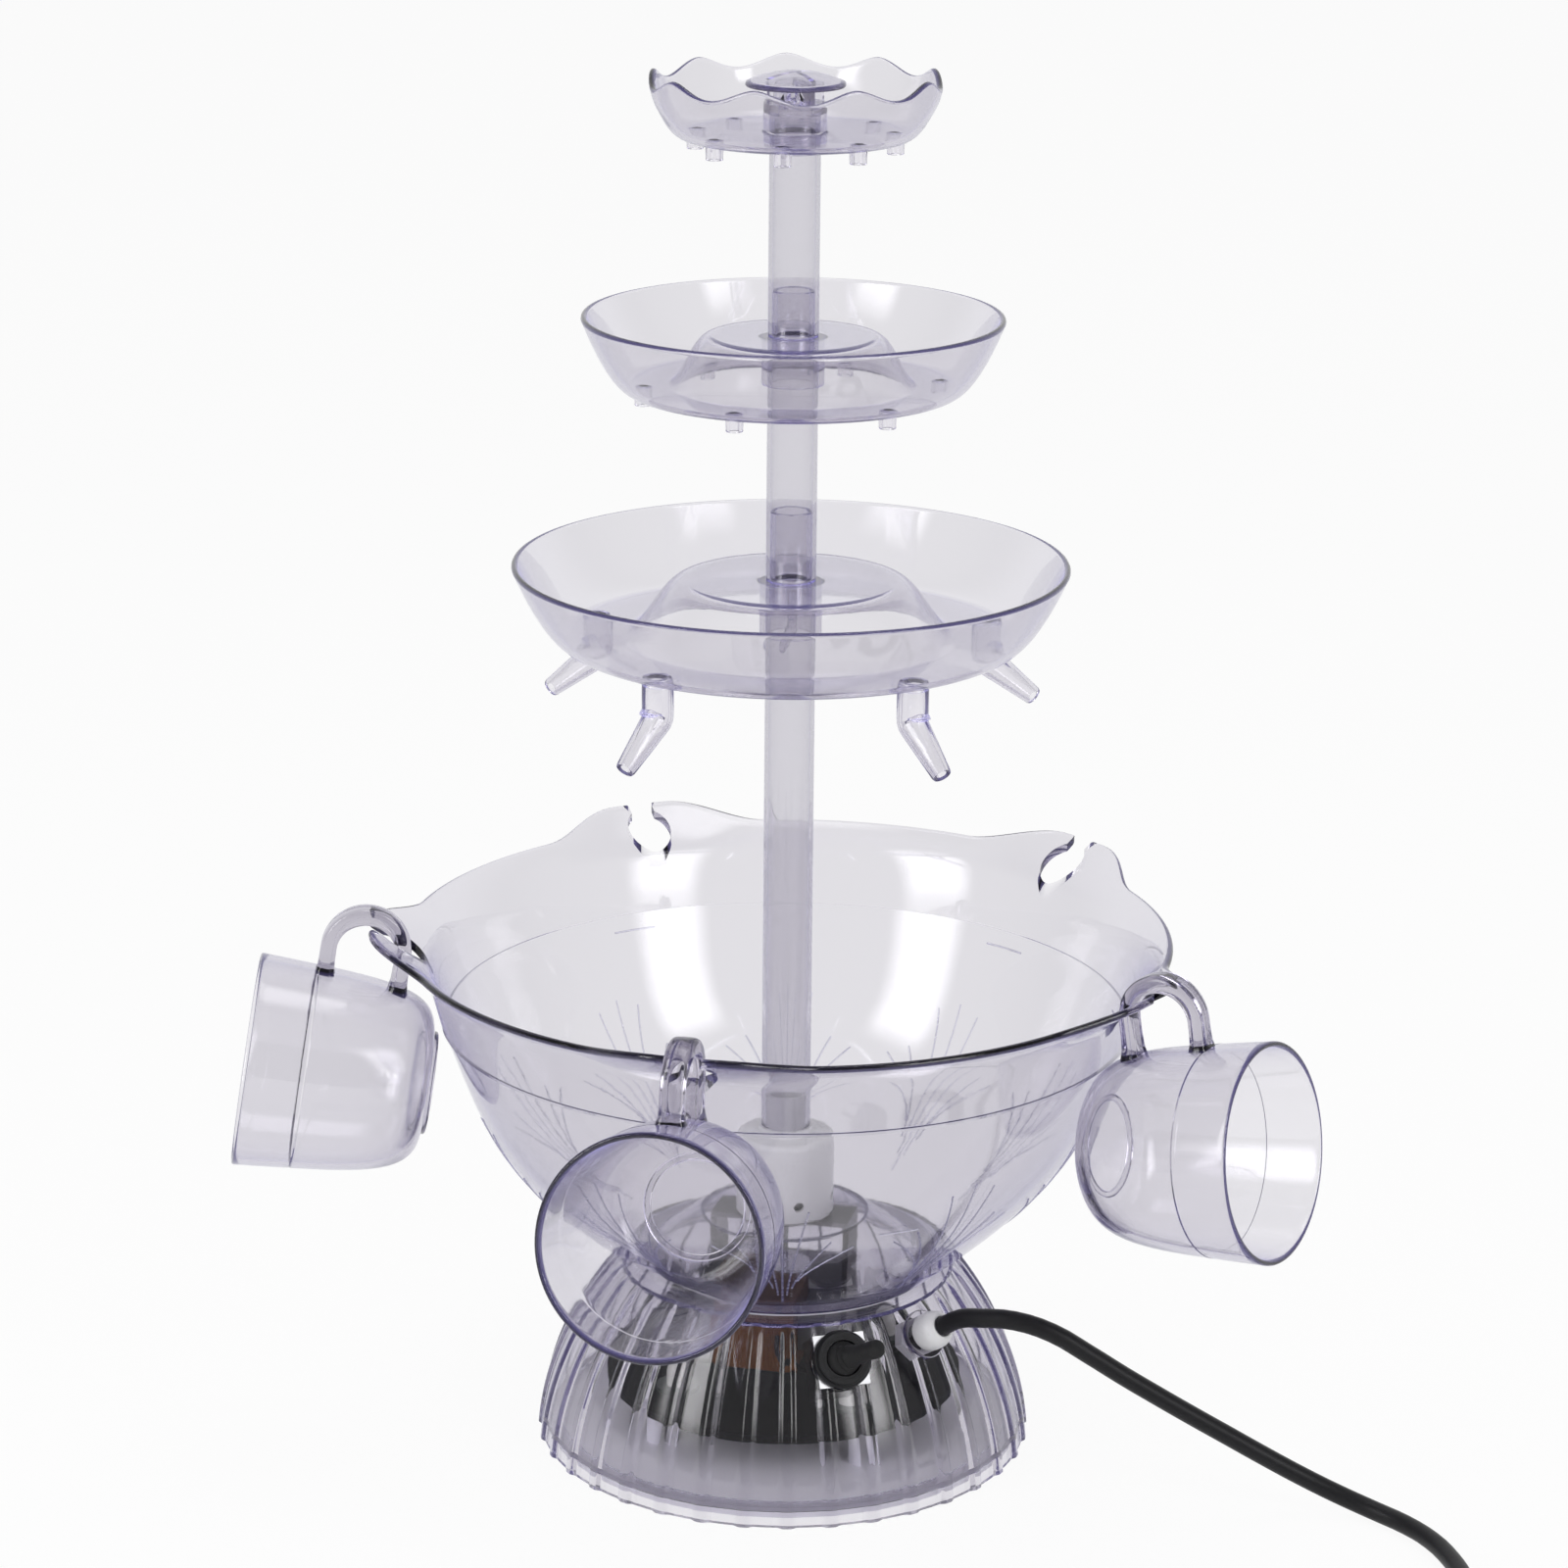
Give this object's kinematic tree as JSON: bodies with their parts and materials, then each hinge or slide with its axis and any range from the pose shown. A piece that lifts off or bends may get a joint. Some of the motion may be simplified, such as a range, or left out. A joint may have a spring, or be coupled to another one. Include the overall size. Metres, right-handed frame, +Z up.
{
  "type": "drinks fountain",
  "caption": "Drinks fountain: a fluted pump base, a clear punch bowl with cup hooks, a column of tiered trays with spouts under a domed cap, and cups hung by their handles.",
  "frame": {"origin": "on the table, at the centre of the base shell's lower edge, under the column", "axes": "+Z up the column, -Y towards the front cup hook, +X to the right"},
  "size_m": [0.4867, 0.3755, 0.5085],
  "materials": {
    "clear": "clear moulded plastic",
    "white": "white moulded plastic",
    "cover": "frosted moulded plastic",
    "black": "black moulded plastic",
    "rubber": "black rubber",
    "steel": "plated steel",
    "chrome": "polished chrome",
    "core": "laminated steel",
    "copper": "varnished copper and bronze",
    "board": "lamp board",
    "lamp": "clear lamp",
    "cord": "black sheath"
  },
  "bodies": {
    "base": {"base_shell": "clear", "bottom_cover": "cover", "cover_screws": "steel", "chassis_plate": "black", "motor_frame": "steel", "frame_screws": "steel", "motor_stator": "core", "motor_coil": "copper", "motor_bearings": "copper", "lamp_boards": "board", "lamps": "lamp", "switch_plate": "chrome", "switch_body": "chrome", "switch_nut": "black", "cord_gland": "white", "gland_nut": "white", "inner_leads": "cord", "bowl_gasket": "rubber", "bowl": "clear", "shaft_seal": "rubber", "pump_screws": "steel", "mains_cord": "cord", "cord_coil": "cord", "plug_lead": "cord", "cord_tie": "rubber", "plug_body": "black", "plug_pins": "steel"},
    "rotor": {"motor_rotor": "steel", "impeller": "white"},
    "toggle": {"switch_lever": "rubber"},
    "pump": {"pump_cover": "white"},
    "column_low": {"lower_tube": "clear"},
    "tray_low": {"lower_tray": "clear", "spout_1": "clear", "spout_2": "clear", "spout_3": "clear", "spout_4": "clear", "spout_5": "clear"},
    "column_mid": {"middle_tube": "clear"},
    "tray_mid": {"middle_tray": "clear"},
    "column_top": {"upper_tube": "clear"},
    "tray_top": {"top_tray": "clear"},
    "cap": {"top_cap": "clear"},
    "cup_l": {"cup_left": "clear"},
    "cup_f": {"cup_front": "clear"},
    "cup_r": {"cup_right": "clear"}
  },
  "joints": [
    {"name": "motor_spin", "type": "hinge", "parent": "base", "child": "rotor", "pos_m": [0, 0, 0], "axis": [0, 0, 1], "continuous": true},
    {"name": "switch_throw", "type": "hinge", "parent": "base", "child": "toggle", "pos_m": [0.03759, -0.06643, 0.05822], "axis": [-0.2656, 0.4694, 0.8421], "range_deg": [-52, 0]},
    {"name": "pump_lift", "type": "slide", "parent": "base", "child": "pump", "axis": [0, 0, 1], "range_m": [0, 0.04]},
    {"name": "column_low_lift", "type": "slide", "parent": "pump", "child": "column_low", "axis": [0, 0, 1], "range_m": [0, 0.02]},
    {"name": "tray_low_turn", "type": "hinge", "parent": "column_low", "child": "tray_low", "pos_m": [0, 0, 0], "axis": [0, 0, 1], "continuous": true},
    {"name": "column_mid_lift", "type": "slide", "parent": "tray_low", "child": "column_mid", "axis": [0, 0, 1], "range_m": [0, 0.03]},
    {"name": "tray_mid_turn", "type": "hinge", "parent": "column_mid", "child": "tray_mid", "pos_m": [0, 0, 0], "axis": [0, 0, 1], "continuous": true},
    {"name": "column_top_lift", "type": "slide", "parent": "tray_mid", "child": "column_top", "axis": [0, 0, 1], "range_m": [0, 0.02]},
    {"name": "tray_top_turn", "type": "hinge", "parent": "column_top", "child": "tray_top", "pos_m": [0, 0, 0], "axis": [0, 0, 1], "continuous": true},
    {"name": "cap_lift", "type": "slide", "parent": "tray_top", "child": "cap", "axis": [0, 0, 1], "range_m": [0, 0.015]},
    {"name": "cup_l_hang", "type": "slide", "parent": "base", "child": "cup_l", "axis": [-0.8564, -0.2783, 0.435], "range_m": [0, 0.08]},
    {"name": "cup_f_hang", "type": "slide", "parent": "base", "child": "cup_f", "axis": [0, -0.9004, 0.435], "range_m": [0, 0.08]},
    {"name": "cup_r_hang", "type": "slide", "parent": "base", "child": "cup_r", "axis": [0.8564, -0.2783, 0.435], "range_m": [0, 0.08]}
  ]
}
